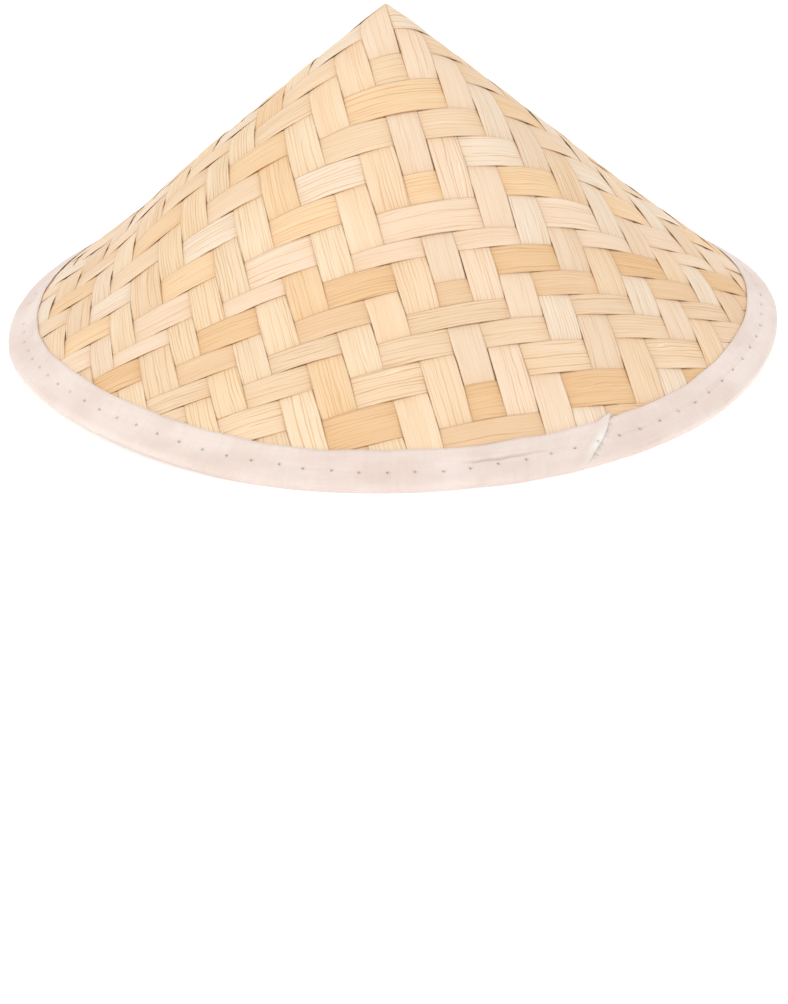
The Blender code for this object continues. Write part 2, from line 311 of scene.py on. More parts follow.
def bambooMaterial(name):
    s = Shader(name, 0.5)
    s.surface.inputs["Specular IOR Level"].default_value = bamboo["specular"]
    along, across = s.flat()
    seed = s.attribute("seed")
    base = s.attribute("tint", "Color")
    wander = s.noise(along * 32, across * 200, seed * 9.1, 2.0, 0.5)
    broad = s.noise(along * 9, across * 210, seed * 2.3, 2.0)
    fibres = s.noise(along * 60, across * 3400, seed * 7.7, 2.0, 0.6)
    patch = s.noise(along * 24, across * 60, seed * 3.1, 2.0)

    def linesAt(spacing, width, shift):  # 1 on each line, 0 between
        shifted = wander * bamboo["lineWander"] * (bamboo["lineSpacing"] / spacing) + seed * shift
        return s.step((across / spacing + shifted).math("PINGPONG", 0.5), 0.02, width, 1.0, 0.0)

    grainy = s.step(s.noise(seed * 31.0, 2.0, 3.0, 0.0), 0.34, 0.62, 0.35, 1.0)
    strength = s.step(s.noise(along * 15, across * 520, seed * 4.7, 1.0), 0.36, 0.64)
    lines = linesAt(bamboo["lineSpacing"], 0.26, 5.3) * strength * grainy
    finer = linesAt(bamboo["fineSpacing"], 0.34, 3.9) * s.step(broad, 0.34, 0.62)
    colour = s.mix(s.step(broad, 0.46, 0.70, 0.0, 0.55), base, bamboo["streakColour"], "MULTIPLY")
    colour = s.mix(s.step(patch, 0.44, 0.72, 0.0, 0.30), colour, bamboo["patchColour"], "MULTIPLY")
    colour = s.mix(s.step(fibres, 0.40, 0.70, 0.0, 0.30), colour, bamboo["fibreColour"], "MULTIPLY")
    colour = s.mix(finer * 0.65, colour, bamboo["fineColour"], "MULTIPLY")
    colour = s.mix(lines, colour, bamboo["lineColour"], "MULTIPLY")
    # painted shade, multiplied in where a strip dives under its neighbour
    colour = s.mix(s.attribute("diveShade") * bamboo["diveShadeStrength"], colour, bamboo["diveShadeColour"], "MULTIPLY")
    ragged = s.noise(along * 300, across * 300, seed, 2.0)
    edgeBrown = s.step(s.attribute("edge") + ragged * 0.10, 0.99, 1.05, 0.0, bamboo["edgeStrength"])
    colour = s.mix(edgeBrown, colour, bamboo["edgeColour"])
    roughness = s.step(broad + fibres * 0.4, 0.3, 1.0, *bamboo["roughness"])
    height = fibres * 0.5 - lines * 0.6 + broad * 0.5
    return s.finish(colour, roughness, height, bamboo["fibreDepth"])


cotton = {
    "threadSpacing": 0.42 * mm,
    "colour": (0.812, 0.710, 0.654, 1),
    "shadeColour": (0.748, 0.624, 0.564, 1),
    # painted shade, multiplied in: the needle holes and a shadow line along the loose fold
    "paintedShadeColour": (0.24, 0.19, 0.175, 1),
    "frayedColour": (0.86, 0.835, 0.80, 1),
    "yarnColour": (0.80, 0.74, 0.72, 1),
    "gapColour": (0.60, 0.50, 0.46, 1),
    "weaveDepth": 0.03 * mm,
    "roughness": (0.78, 0.92),
    "specular": 0.2,
    "sheen": 0.25,
}


def cottonMaterial(name):
    s = Shader(name, 0.85)
    s.surface.inputs["Specular IOR Level"].default_value = cotton["specular"]
    s.surface.inputs["Sheen Weight"].default_value = cotton["sheen"]
    along, across = s.flat()
    thread = math.pi / cotton["threadSpacing"]
    slub = s.noise(along * 120, across * 120, 3.0, 2.0)
    warp = (across * thread + slub * 1.2).math("SINE")
    weft = (along * thread + slub * 1.2).math("SINE")
    checks = (warp * weft).math("ABSOLUTE")
    yarn = s.noise(along * 500, across * 90, 5.0, 2.0) * 0.5
    yarn = yarn + s.noise(along * 60, across * 600, 8.0, 2.0) * 0.5
    cloud = s.noise(along * 30, across * 46, 1.0, 3.0)
    colour = s.mix(s.step(cloud, 0.36, 0.68), cotton["colour"], cotton["shadeColour"])
    colour = s.mix(s.step(yarn, 0.42, 0.62, 0.0, 0.14), colour, cotton["yarnColour"], "MULTIPLY")
    colour = s.mix((1 - checks) * 0.06, colour, cotton["gapColour"], "MULTIPLY")
    colour = s.mix(s.attribute("frayed"), colour, cotton["frayedColour"])
    # painted shade: darker in the needle holes and along the shadow of the loose fold
    colour = s.mix(s.attribute("paintedShade"), colour, cotton["paintedShadeColour"], "MULTIPLY")
    height = checks * 0.6 + yarn * 0.5
    return s.finish(colour, s.step(yarn, 0.3, 0.7, *cotton["roughness"]), height, cotton["weaveDepth"])


def cordMaterial(name, colour, twistsPerMetre, around):
    s = Shader(name, 0.75)
    s.surface.inputs["Sheen Weight"].default_value = 0.2
    x, y, z = s.solid()
    twist = ((x + y + z * around) * (math.tau * twistsPerMetre)).math("SINE")
    fuzz = s.noise(x * 2500, y * 2500, z * 2500, 2.0)
    dark = tuple(c * 0.72 for c in colour[:3]) + (1,)
    tone = s.mix(s.step(twist + fuzz, -0.4, 1.2, 0.0, 0.8), dark, colour)
    return s.finish(tone, s.step(fuzz, 0.3, 0.7, 0.65, 0.85), twist * 0.6 + fuzz * 0.6, 0.08 * mm)


bambooStripFinish = bambooMaterial("splitBamboo")
splintFinish = bambooMaterial("bentSplint")
cottonFinish = cottonMaterial("cottonTape")
threadFinish = cordMaterial("sewingThread", (0.82, 0.76, 0.71, 1), 900, 1.6)
frayFinish = cordMaterial("looseYarn", (0.87, 0.85, 0.82, 1), 700, 1.4)
tieFinish = cordMaterial("tieCord", (0.62, 0.47, 0.30, 1), 520, 1.3)
print("made the finishes")

# The woven shell. Over two, under two, each strip one step on from its neighbour, right round the cone.
weave = {
    "widths": {  # in millimetres, from the apex outwards
        "front_strip": (13, 12.5, 13.5, 15.5, 14.5, 15, 15, 15.5, 9, 13.5, 11.5, 10, 12, 15, 17, 14, 10),
        "right_strip": (14.5, 15, 15.5, 16, 16, 15, 15.5, 14.5, 14.5, 15, 14.5, 15, 15, 15, 15),
        "left_strip": (14.5, 15.5, 15, 15, 16, 15, 13.5, 14.5, 13, 16.5, 12.5, 11.5, 14.5, 14, 13, 12),
    },
    "gap": 0.06 * mm,
    "opening": 0.34 * mm,  # where two neighbours part a little
    "thickness": 0.25 * mm,
    "lift": 0.27 * mm,
    "ramp": 1.9 * mm,
    "arch": 0.014,         # how far a run over other strips rises, for each metre of its length
    "crown": 0.13 * mm,
    "tilt": 0.06 * mm,
    "wander": 0.30 * mm,   # of the line between two neighbours
    "pressed": (15 * mm, 25 * mm),  # from the rim: flat under the tape, free beyond it
    "leastWidth": 0.2 * mm,
    "turnLineGap": 0.25 * mm,
    "tipInset": 0.9 * mm,
    "step": 1.0 * mm,
}
tints = {
    "gold": (0.806, 0.554, 0.318),
    "tan": (0.803, 0.576, 0.368),
    "honey": (0.843, 0.620, 0.391),
    "sand": (0.822, 0.634, 0.447),
    "straw": (0.848, 0.668, 0.456),
    "pink": (0.845, 0.674, 0.511),
    "cream": (0.848, 0.660, 0.467),
    "ivory": (0.840, 0.678, 0.488),
    "pale": (0.860, 0.728, 0.584),
}
stripTints = {
    "front_strip": ("pale cream cream honey cream pale honey pink pink "
                    "gold tan sand sand sand gold tan cream").split(),
    "right_strip": "pink pink pale pink cream pale pink cream pale sand pink cream honey pale cream".split(),
    "left_strip": ("pink cream cream ivory honey ivory ivory straw straw "
                   "sand ivory pink sand cream pale honey").split(),
}
familyNames = list(weave["widths"])
stripEdges = [np.cumsum((0, *widths)) * mm for widths in weave["widths"].values()]


def liesOver(own, other, otherFollows):
    if otherFollows:
        return (own - other) % 4 in (3, 0)
    return (other - own) % 4 in (1, 2)


def runsOf(family, index):  # stretches of a strip that stay on one side: [start, end, side]
    cells = []
    for side in (-1, 1):
        edges = stripEdges[(family + side) % 3]
        for other, (near, far) in enumerate(zip(edges, edges[1:])):
            over = 1 if liesOver(index, other, side > 0) else -1
            cells.append([*sorted((side * near, side * far)), over])
    cells.sort()
    runs = [cells[0]]
    for start, end, over in cells[1:]:
        if over == runs[-1][2]:
            runs[-1][1] = end
        else:
            runs.append([start, end, over])
    return np.array(runs)


def runAt(runs, along):  # the run at each place along a strip, and how far its nearer end is
    start, end, side = runs[np.clip(np.searchsorted(runs[:, 1], along), 0, len(runs) - 1)].T
    return start, end, side, np.minimum(along - start, end - along)


def stripLift(runs, along, slant):
    start, end, side, fromEnd = runAt(runs, along)
    ramp = np.sin(np.clip(fromEnd / weave["ramp"], 0, 1) * math.pi / 2)
    share = np.clip((along - start) / (end - start), 0, 1)
    flat, free = weave["pressed"]
    held = smooth(rimSlant - flat, rimSlant - free, slant)
    rise = weave["arch"] * (end - start) * np.sin(math.pi * share) ** 2 * held
    return side * (weave["lift"] * ramp + rise)


def diveShadeAt(runs, along):  # painted shade: 1 at the ends of each run, fading to 0 on its open stretch
    return np.exp(-np.maximum(runAt(runs, along)[3], 0) / bamboo["diveShadeReach"])


def weaveStrip(family, index, rng):
    name = familyNames[family]
    near, far = stripEdges[family][index:index + 2]
    runs = runsOf(family, index)
    tip = math.sqrt(shellSlant**2 - (near + weave["tipInset"]) ** 2)
    seed = rng.uniform(0, 10)
    tilt = rng.uniform(-1, 1) * weave["tilt"]
    partings = [Ripple(rng, 0.03, 0.12) for _ in range(2)]

    def bend(along, share):
        nearWave, farWave = [weave["wander"] * wave(along) for wave in edgeWaves[family][index:index + 2]]
        parting = [weave["gap"] / 2 + weave["opening"] * smooth(0.55, 1.25, wave(along)) for wave in partings]
        low = np.maximum(near + nearWave * min(index, 1) + parting[0], weave["turnLineGap"])
        high = np.minimum(far + farWave - parting[1], shellSlant)
        high = np.minimum(high, np.sqrt(np.maximum(shellSlant**2 - along**2, 0)))
        across = low + share * np.maximum(high - low, weave["leastWidth"])
        slant = np.hypot(along, across)
        azimuth = hat["turnLine"] + 120 * family + np.degrees(np.arctan2(along, across)) / coneSine
        lift = stripLift(runs, along, slant) + tilt * (2 * share - 1)
        lift += weave["crown"] * (0.5 - (2 * share - 1) ** 2)
        return onSlope(azimuth, slant, lift), np.stack([along, across], axis=-1)

    alongs = np.linspace(-tip, tip, max(12, round(2 * tip / weave["step"])))
    acrosses = np.array([0, 0.05, 0.2, 0.4, 0.6, 0.8, 0.95, 1.0])
    piece = bentSheet(f"{name.split('_')[0]}Strip{index + 1:02d}", alongs, acrosses, bend, bambooStripFinish)
    pointsOutwards(piece, (0, 0, -0.1))
    count = len(piece.data.vertices)
    base = np.array(tints[stripTints[name][index]]) * rng.uniform(0.97, 1.03)
    addAttribute(piece, "tint", "FLOAT_COLOR", np.tile([*base, 1], (count, 1)))
    addAttribute(piece, "seed", "FLOAT", np.full(count, seed))
    grid = np.abs(2 * np.tile(acrosses[:, None], (1, len(alongs))) - 1)
    addAttribute(piece, "edge", "FLOAT", grid)
    # painted shade at the ends of each run, where the strip dives under its neighbour
    addAttribute(piece, "diveShade", "FLOAT", diveShadeAt(runs, np.tile(alongs, len(acrosses))))
    thicken(piece, weave["thickness"])
    return fit(piece, "bamboo_" + name.split("_")[0], f"{name}_{index + 1:02d}")


weaveRandom = random.Random(11)
edgeWaves = [[Ripple(weaveRandom, 0.05, 0.22) for _ in edges] for edges in stripEdges]
for family, edges in enumerate(stripEdges):
    for index in range(len(edges) - 1):
        weaveStrip(family, index, weaveRandom)
print("wove the shell")

# The cotton tape, folded over the rim hoop and sewn through.
tape = {
    "width": 18.5 * mm,       # of each leaf, from the rim
    "thickness": 0.40 * mm,
    "lift": 1.05 * mm,
    "foldRadius": 2.80 * mm,
    "stitchFromRim": 10.0 * mm,
    "stitches": 91,
    "firstStitch": -1.1,      # its azimuth, in degrees
    "rowDip": (6.0, 30.0, 1.8 * mm),   # the row runs nearer the rim here: azimuth, spread, distance
    "azimuthStray": 0.22,
    "rowStray": 0.4 * mm,
    "lapStart": 18.2,         # azimuths of the tape's hidden start and of its slanting end on top
    "lapEnd": 30.6,
    "lapLean": 8.6,           # the end is cut on a slant: this many degrees from the rim to the leaf's edge
    "lapLift": 0.32 * mm,
    "lapCorner": 2.0 * mm,    # the end's corner stands out beyond the leaf's edge
    "frayedLength": 5.0 * mm,
    "frayedMiddle": (0.70, 3.5 * mm),   # more frayed beside the stitches
    "pitShade": (1.35, 0.44 * mm),       # painted shade in each needle hole: how dark, and its size
    # painted shadow line along the loose fold above the stitches: how dark, and its reach
    "creaseShade": (0.38, 0.55 * mm),
    "crease": (8.0, 28.0),    # a loose fold runs above the stitches between these azimuths
    "drawn": (31, 38, 66, 80),   # the thread is drawn tighter here, beyond the seam
    "coarseStep": 1.5 * mm,
    "fineStep": 0.42 * mm,
}
leafStart = rimSlant - tape["width"]
stitchSlant = rimSlant - tape["stitchFromRim"]
lapEnd = 360 + tape["lapEnd"]
degreeLength = math.radians(1) * hat["radius"] * 0.96   # of one degree, along the row of stitches


def tapeSection():  # the folded tape's line in (slant, lift), outer leaf first, even steps along it
    foldAngle = np.radians(np.linspace(112, 0, 15))
    radius = tape["foldRadius"]
    fold = [(hoopSlant + radius * math.cos(a), radius * math.sin(a)) for a in foldAngle]
    half = [(leafStart, tape["lift"] - 0.12 * mm), (leafStart + 4 * mm, tape["lift"]),
            (stitchSlant - 2 * mm, tape["lift"] + 0.10 * mm), (stitchSlant, tape["lift"] + 0.05 * mm),
            (stitchSlant + 2.2 * mm, tape["lift"] + 0.55 * mm), *fold]
    line = np.array(half + [(x, -y) for x, y in half[-2::-1]])
    length = np.r_[0, np.cumsum(np.hypot(*np.diff(line, axis=0).T))]
    steps = np.linspace(0, length[-1], 161)
    even = np.stack([np.interp(steps, length, line[:, k]) for k in (0, 1)], axis=-1)
    for _ in range(40):
        even[1:-1] = even[1:-1] / 2 + (even[:-2] + even[2:]) / 4
    return steps, even


def gradedSteps(start, end, coarse, fine, places, reach):  # closer steps near the places that need them
    line = np.linspace(start, end, 12000)
    near = np.exp(-((line[:, None] - np.asarray(places)[None, :]) / reach) ** 2).sum(axis=1).clip(0, 1)
    rate = 1 / coarse + (1 / fine - 1 / coarse) * near
    count = np.r_[0, np.cumsum((rate[1:] + rate[:-1]) / 2 * np.diff(line))]
    return np.interp(np.linspace(0, count[-1], round(count[-1]) + 1), count, line)


tapeSteps, tapeLine = tapeSection()
tapeLength = tapeSteps[-1]
tapeNormals = np.gradient(tapeLine, axis=0)[:, ::-1] * (-1, 1)
tapeNormals /= np.linalg.norm(tapeNormals, axis=1)[:, None]
outerStitchStep = float(np.interp(stitchSlant, tapeLine[:60, 0], tapeSteps[:60]))
tapeRandom = random.Random(5)
tapeWaves = [(Ripple(tapeRandom, 4.0, 14.0), Ripple(tapeRandom, 5 * mm, 22 * mm)) for _ in range(3)]
tapePuckers = Ripple(tapeRandom, 1.6, 4.2, 9)
tapePuckerShift = Ripple(tapeRandom, 9.0, 30.0)
tapeEdgeWave = Ripple(tapeRandom, 6.0, 30.0)
stitchDegrees = 360 / tape["stitches"]
stitchAzimuths = tape["firstStitch"] + np.arange(tape["stitches"]) * stitchDegrees
azimuthStray, stitchStray = [np.array([tapeRandom.uniform(-1, 1) for _ in stitchAzimuths]) for _ in range(2)]
stitchAzimuths = stitchAzimuths + tape["azimuthStray"] * azimuthStray
stitchStray = tape["rowStray"] * stitchStray


def rowStray(azimuth):  # how far the row of stitches strays towards the rim
    middle, spread, distance = tape["rowDip"]
    dip = distance * hump(turnBetween(azimuth, middle) / spread)
    return dip + np.interp(azimuth, stitchAzimuths, stitchStray, period=360)


def fromStitches(azimuth, step):  # distances to the row of stitches and to the nearest stitch on it
    leaf = np.where(step < tapeLength / 2, step, tapeLength - step)
    aside = turnBetween(azimuth[:, None], stitchAzimuths[None, :]).min(axis=1)
    fromRow = leaf - outerStitchStep - rowStray(azimuth)
    return fromRow, np.hypot(aside * degreeLength, fromRow)


# How the cloth stands off its section line: heights and depths, and how far each reaches.
relief = {
    "waves": 0.08 * mm,
    "puckers": (0.17 * mm, 5.5 * mm),
    "groove": (0.08 * mm, 0.9 * mm),
    "drawnGroove": 0.26 * mm,
    "pit": (0.60 * mm, 0.62 * mm),
    "pull": (0.24 * mm, 2.6 * mm),
    "creaseFold": (0.85 * mm, 1.2 * mm),
    "creaseLine": (0.35 * mm, 0.6 * mm),
    "creaseAbove": (1.1 * mm, 0.35 * mm),   # above the stitches, and how much that wavers
    "foldAboveLine": 1.7 * mm,
}


def bump(sizes, distance):  # a rounded bump of a height and a reach
    return sizes[0] * np.exp(-(distance / sizes[1]) ** 2)


def creaseAt(azimuth):
    start, end = tape["crease"]
    return smooth(start, start + 4, azimuth % 360) * smooth(end, end - 13, azimuth % 360)


def fromCreaseLine(turn, step):
    above, waver = relief["creaseAbove"]
    return step - outerStitchStep + above + waver * tapeEdgeWave(turn * 2.5)


def tapeRelief(azimuth, step):
    turn = azimuth % 360
    fromRow, fromPit = fromStitches(azimuth, step)
    height = sum(relief["waves"] * a(turn) * (0.6 + 0.5 * b(step)) for a, b in tapeWaves)
    height += bump(relief["puckers"], fromRow) * tapePuckers(turn + 60 * step * tapePuckerShift(turn))
    drawnStart, drawnFull, drawnEnd, drawnGone = tape["drawn"]
    drawn = smooth(drawnStart, drawnFull, turn) * smooth(drawnGone, drawnEnd, turn)
    depth, reach = relief["groove"]
    height -= bump((depth + relief["drawnGroove"] * drawn, reach), fromRow)
    height -= bump(relief["pit"], fromPit) + bump(relief["pull"], fromPit)
    fromCrease = fromCreaseLine(turn, step)
    fold = bump(relief["creaseFold"], fromCrease + relief["foldAboveLine"])
    fold -= bump(relief["creaseLine"], fromCrease)
    return height + np.where(step < tapeLength / 2, fold * creaseAt(azimuth), 0)


def tapePoint(azimuth, step, raised=0.0):  # azimuth runs past 360 where the tape's end lies over its start
    slant = np.interp(step, tapeSteps, tapeLine[:, 0])
    lift = np.interp(step, tapeSteps, tapeLine[:, 1])
    normal = [np.interp(step, tapeSteps, tapeNormals[:, k]) for k in (0, 1)]
    onTop = smooth(357.0 + tape["lapStart"] - 3.5, 360.0 + tape["lapStart"], azimuth)
    off = tapeRelief(azimuth, step) + tape["lapLift"] * onTop + raised
    edge = np.exp(-step / (3 * mm)) - np.exp(-(tapeLength - step) / (3 * mm))
    corner = np.exp(-step / (5 * mm)) * smooth(lapEnd + 0.8, lapEnd + 3.6, azimuth)
    slant = slant + edge * 0.35 * mm * tapeEdgeWave(azimuth % 360) - tape["lapCorner"] * corner
    return onSlope(azimuth, slant + normal[0] * off, lift + normal[1] * off)


def leaned(azimuth, step):  # the slant of the tape's end, which dies away along it
    share = np.abs(2 * step / tapeLength - 1)
    return azimuth + tape["lapLean"] * (share - 0.5) * smooth(lapEnd - 16, lapEnd, azimuth)


def bendTape(azimuth, step):
    points = tapePoint(leaned(azimuth, step), step)
    points[:, 2] = np.maximum(points[:, 2], tape["thickness"] / 2 + 0.05 * mm)  # it lies flat where it rests
    return points, np.stack([np.radians(azimuth) * hat["radius"], step], axis=-1)


lapStitches = [azimuth + turn for turn in (0, 360) for azimuth in stitchAzimuths
               if tape["lapStart"] <= azimuth + turn <= lapEnd]
tapeAzimuths = gradedSteps(tape["lapStart"], lapEnd, tape["coarseStep"] / degreeLength,
                           tape["fineStep"] / degreeLength, lapStitches, 1.2 * mm / degreeLength)
tapeRows = gradedSteps(0, tapeLength, tape["coarseStep"], tape["fineStep"],
                       [outerStitchStep, tapeLength - outerStitchStep], 2.2 * mm)
foldedTape = bentSheet("foldedTape", tapeAzimuths, tapeRows, bendTape, cottonFinish)
turns, steps = np.tile(tapeAzimuths, len(tapeRows)), np.repeat(tapeRows, len(tapeAzimuths))
fromRow, fromPit = fromStitches(leaned(turns, steps), steps)
# painted shade: dark needle holes, and a shadow line along the loose fold above the stitches
paintedShade = bump(tape["pitShade"], fromPit)
paintedShade += bump(tape["creaseShade"], fromCreaseLine(turns % 360, steps)) * creaseAt(turns) ** 2
addAttribute(foldedTape, "paintedShade", "FLOAT", paintedShade.clip(0, 1))
fromEnd = (lapEnd - turns) * degreeLength
frayed = smooth(tape["frayedLength"] * 1.2, tape["frayedLength"] * 0.5, fromEnd)
frayed *= 0.20 + bump(tape["frayedMiddle"], steps - outerStitchStep)
addAttribute(foldedTape, "frayed", "FLOAT", frayed)
thicken(foldedTape, tape["thickness"])
fit(foldedTape, "cotton_tape", "binding_tape")
tapeCutLength = math.radians(lapEnd - tape["lapStart"]) * hat["radius"] * 0.955
print("folded the tape: %.1f by %.0f mm" % (tapeLength * 1000, tapeCutLength * 1000))

stitching = {
    "radius": 0.20 * mm,
    # each row's shape: the share of a stitch, and millimetres off the cloth
    "needleRow": ((0.0, -0.25), (0.03, 0.02), (0.06, 0.16), (0.09, 0.02), (0.13, -0.45),
                  (0.3, -0.48), (0.5, -0.48), (0.7, -0.48), (0.87, -0.48), (0.95, -0.42)),
    "bobbinRow": ((0.0, -0.40), (0.1, 0.05), (0.25, 0.18), (0.5, 0.22), (0.75, 0.18), (0.9, 0.05)),
}


def stitchRow(name, node, outer, profile):
    azimuths, raised = [], []
    ring = np.r_[stitchAzimuths, stitchAzimuths[0] + 360]
    for start, end in zip(ring, ring[1:]):
        for share, off in profile:
            azimuths.append(start + (end - start) * share)
            raised.append(off * mm)
    azimuths, raised = np.array(azimuths), np.array(raised)
    underLap = (azimuths % 360 > tape["lapStart"] - 3) & (azimuths % 360 < tape["lapEnd"])
    lapped = azimuths + np.where(underLap, 360, 0)
    leaf = outerStitchStep + rowStray(azimuths)
    points = tapePoint(lapped, leaf if outer else tapeLength - leaf, raised + tape["thickness"] / 2)
    row = cordPiece(name, [points], stitching["radius"], threadFinish, closed=True)
    return fit(row, "sewing_thread", node)


stitchRow("needleThread", "needle_thread", True, stitching["needleRow"])
stitchRow("bobbinThread", "bobbin_thread", False, stitching["bobbinRow"])

fray = {
    "threads": 60,
    "radius": 0.06 * mm,
    "length": (0.6 * mm, 2.6 * mm),
    "reachAcross": 17 * mm,
    "drift": 1.2 * mm,
    "lift": 0.5 * mm,
}
frayRandom = random.Random(3)
frayPaths = []
for _ in range(fray["threads"]):
    step = frayRandom.uniform(0.3 * mm, fray["reachAcross"])
    root = float(leaned(lapEnd, step))
    reach = math.degrees(frayRandom.uniform(*fray["length"]) / hat["radius"])
    drift = frayRandom.uniform(-1, 1) * fray["drift"]
    shares = np.linspace(-0.3, 1, 6)
    frayPaths.append(tapePoint(root + reach * shares, np.clip(step + drift * shares**2, 0, tapeLength),
                               frayRandom.uniform(0, 1) * fray["lift"] * shares.clip(0) ** 2))
fit(cordPiece("tapeFray", frayPaths, fray["radius"], frayFinish, resolution=1), "sewing_thread")
print("sewed the tape")

# The rim hoop stays as the frame has it, inside the fold, with its own finish.
splintTint = (0.60, 0.385, 0.185, 1)


def rodMaterial(name, colour):
    s = Shader(name, 0.55)
    x, y, z = s.solid()
    grain = s.noise(x * 60, y * 60, z * 1800, 3.0)
    dark = tuple(c * 0.7 for c in colour[:3]) + (1,)
    tone = s.mix(s.step(grain, 0.35, 0.7), colour, dark)
    return s.finish(tone, s.step(grain, 0.3, 0.7, 0.5, 0.65), grain, 0.1 * mm)


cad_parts["rim_hoop"].material_slots[0].material = rodMaterial("rimHoopFinish", splintTint)

# The head hoop is one bent splint whose end lies over its start, lashed beside the lap.
headLow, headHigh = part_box("head_hoop")
headHoop = {
    "radius": headHigh.x - 0.6 * mm,   # to the middle of the splint
    "top": headHigh.z,
    "height": headHigh.z - headLow.z,
    "thickness": 1.1 * mm,
    "lap": (150.0, 168.0),
    "tint": (0.66, 0.445, 0.235, 1),
    "step": 1.2 * mm,
    "lashings": (153.0, 165.0),
    "lashingTurns": 5,
    "cordRadius": 0.35 * mm,
    "tieAzimuths": (45.0, 135.0, 225.0, 315.0),
    "tieHoleDrop": 5 * mm,
    "knotRadius": 1.1 * mm,
    "knotInside": 1.5 * mm,
    "knotDrop": 2.2 * mm,
}
hoopRandom = random.Random(21)
hoopEdge = Ripple(hoopRandom, 0.05, 0.2)
splintStart, splintEnd = headHoop["lap"]


def hoopOffset(azimuth):  # the lapped end moves outwards by the splint's thickness
    return headHoop["thickness"] * 1.05 * smooth(353 + splintStart, 359 + splintStart, azimuth)


def bendHoop(azimuth, drop):
    along = np.radians(azimuth) * headHoop["radius"]
    radius = headHoop["radius"] + hoopOffset(azimuth)
    rounded = 0.18 * mm * hoopEdge(along)
    height = headHoop["top"] - 0.3 * mm - drop * (1 - 0.6 * mm / headHoop["height"]) + rounded
    return turned(azimuth, radius, height), np.stack([along, drop], axis=-1)


hoopTurns = round(math.tau * headHoop["radius"] / headHoop["step"])
hoopDrops = np.linspace(0, headHoop["height"], 17)
hoopAzimuths = np.linspace(splintStart, 360 + splintEnd, hoopTurns)
bentSplint = bentSheet("headHoop", hoopAzimuths, hoopDrops, bendHoop, splintFinish)
splintCount = len(bentSplint.data.vertices)
addAttribute(bentSplint, "tint", "FLOAT_COLOR", np.tile(headHoop["tint"], (splintCount, 1)))
addAttribute(bentSplint, "seed", "FLOAT", np.full(splintCount, 3.3))
hoopShares = np.repeat(np.abs(2 * hoopDrops / headHoop["height"] - 1), hoopTurns)
addAttribute(bentSplint, "edge", "FLOAT", hoopShares)
thicken(bentSplint, headHoop["thickness"])
hoopBevel = bentSplint.modifiers.new("worn edges", "BEVEL")
hoopBevel.width = 0.25 * mm
hoopBevel.segments = 2
hoopBevel.limit_method = "ANGLE"
fit(bentSplint, "bamboo_splint", "head_hoop")


def woundCord(azimuth, top, bottom, inside, outside, radius, turns, pitch):  # wound round a flat splint
    corner = 2.2 * radius
    low, high = bottom - 1.3 * radius, top + 1.3 * radius
    near, far = inside - 1.3 * radius, outside + 1.3 * radius
    loop = [(near, low + corner), (near, high - corner), (near + corner / 2, high), (far - corner / 2, high),
            (far, high - corner), (far, low + corner), (far - corner / 2, low), (near + corner / 2, low)]
    points = []
    for step in range(turns * len(loop) + 1):
        radial, height = loop[step % len(loop)]
        across = (step / len(loop) - turns / 2) * pitch
        points.append(turned(azimuth + math.degrees(across / headHoop["radius"]), radial, height))
    return np.array(points)


lashings = []
for azimuth in headHoop["lashings"]:
    lashings.append(woundCord(azimuth, headHoop["top"] - 0.2 * mm,
                              headHoop["top"] - headHoop["height"] + 0.2 * mm,
                              headHoop["radius"] - headHoop["thickness"] / 2,
                              headHoop["radius"] + headHoop["thickness"] * 1.55,
                              headHoop["cordRadius"], headHoop["lashingTurns"], 2.1 * headHoop["cordRadius"]))
fit(cordPiece("hoopLashings", lashings, headHoop["cordRadius"], tieFinish), "tie_cord")


def knot(centre, azimuth, radius):  # a small overhand knot, as one wrapped curl
    out = turned(azimuth, 1.0, 0.0)
    side = turned(azimuth + 90, 1.0, 0.0)
    up = np.array((0, 0, 1.0))
    t = np.linspace(0, math.tau, 40)[:, None]
    curl = (2 + np.cos(3 * t)) * radius / 3
    return centre + side * np.cos(2 * t) * curl + up * np.sin(2 * t) * curl - out * np.sin(3 * t) * radius / 3


for number, azimuth in enumerate(headHoop["tieAzimuths"], 1):
    inside = headHoop["radius"] - headHoop["thickness"] / 2
    outside = headHoop["radius"] + headHoop["thickness"] / 2
    wound = woundCord(azimuth, headHoop["top"], headHoop["top"] - headHoop["tieHoleDrop"], inside, outside,
                      headHoop["cordRadius"], 2, 2.4 * headHoop["cordRadius"])
    knotPlace = turned(azimuth, inside - headHoop["knotInside"], headHoop["top"] - headHoop["knotDrop"])
    tail = np.array([knotPlace + turned(azimuth, -0.35 * k * mm, -1.1 * k * mm) for k in range(5)])
    paths = [wound, knot(knotPlace, azimuth, headHoop["knotRadius"]), tail]
    tie = cordPiece(f"headTie{number}", paths, headHoop["cordRadius"], tieFinish)
    fit(tie, "tie_cord", f"head_tie_{number}")

# Two loops of tape hang on the head hoop for a chin cord.
chinLoop = {
    "width": 10.0 * mm,
    "thickness": 0.6 * mm,
    "drop": 13.0 * mm,
    "away": 1.35 * mm,
    "seamDrop": 1.5 * mm,
    "cupping": 0.6 * mm,
}


